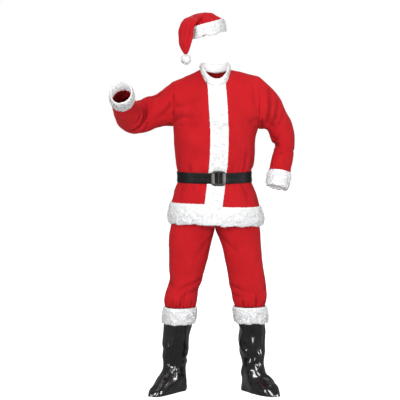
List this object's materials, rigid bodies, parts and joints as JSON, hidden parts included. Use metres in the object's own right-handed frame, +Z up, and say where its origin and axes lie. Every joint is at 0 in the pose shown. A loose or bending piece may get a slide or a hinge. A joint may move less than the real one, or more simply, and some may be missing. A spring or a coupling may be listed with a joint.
{
  "type": "santa suit",
  "caption": "Worn costume suit with nobody in it: plush-trimmed red hat, belted jacket and trousers with black boot covers, one arm raised in a wave.",
  "frame": {"origin": "the base of the neck, in the middle of the neck opening, where the jacket hangs on the shoulders", "axes": "+Z up, the front faces -Y, +X is the wearer's left"},
  "size_m": [0.8761, 0.4602, 1.8203],
  "materials": {
    "red_cloth": "soft brushed polyester velour with a short nap",
    "white_plush": "deep white plush pile",
    "black_belt": "smooth imitation leather, slightly glossy",
    "pewter": "dull cast pewter colour",
    "black_vinyl": "thin glossy vinyl with soft creases"
  },
  "bodies": {
    "root": {"jacket_front_right": "red_cloth", "jacket_front_left": "red_cloth", "jacket_back": "red_cloth", "jacket_sleeve_right": "red_cloth", "jacket_sleeve_left": "red_cloth", "trousers_front_right": "red_cloth", "trousers_front_left": "red_cloth", "trousers_back_right": "red_cloth", "trousers_back_left": "red_cloth", "hat_crown_front": "red_cloth", "hat_crown_back": "red_cloth", "front_band": "white_plush", "hem_trim_front_right": "white_plush", "hem_trim_front_left": "white_plush", "hem_trim_back": "white_plush", "cuff_trim_right": "white_plush", "cuff_trim_left": "white_plush", "collar_trim": "white_plush", "leg_trim_right": "white_plush", "leg_trim_left": "white_plush", "hat_band": "white_plush", "hat_pompom": "white_plush", "belt_strap": "black_belt", "buckle": "pewter", "boot_cover_right_inner": "black_vinyl", "boot_cover_right_outer": "black_vinyl", "boot_cover_left_inner": "black_vinyl", "boot_cover_left_outer": "black_vinyl"}
  },
  "joints": []
}
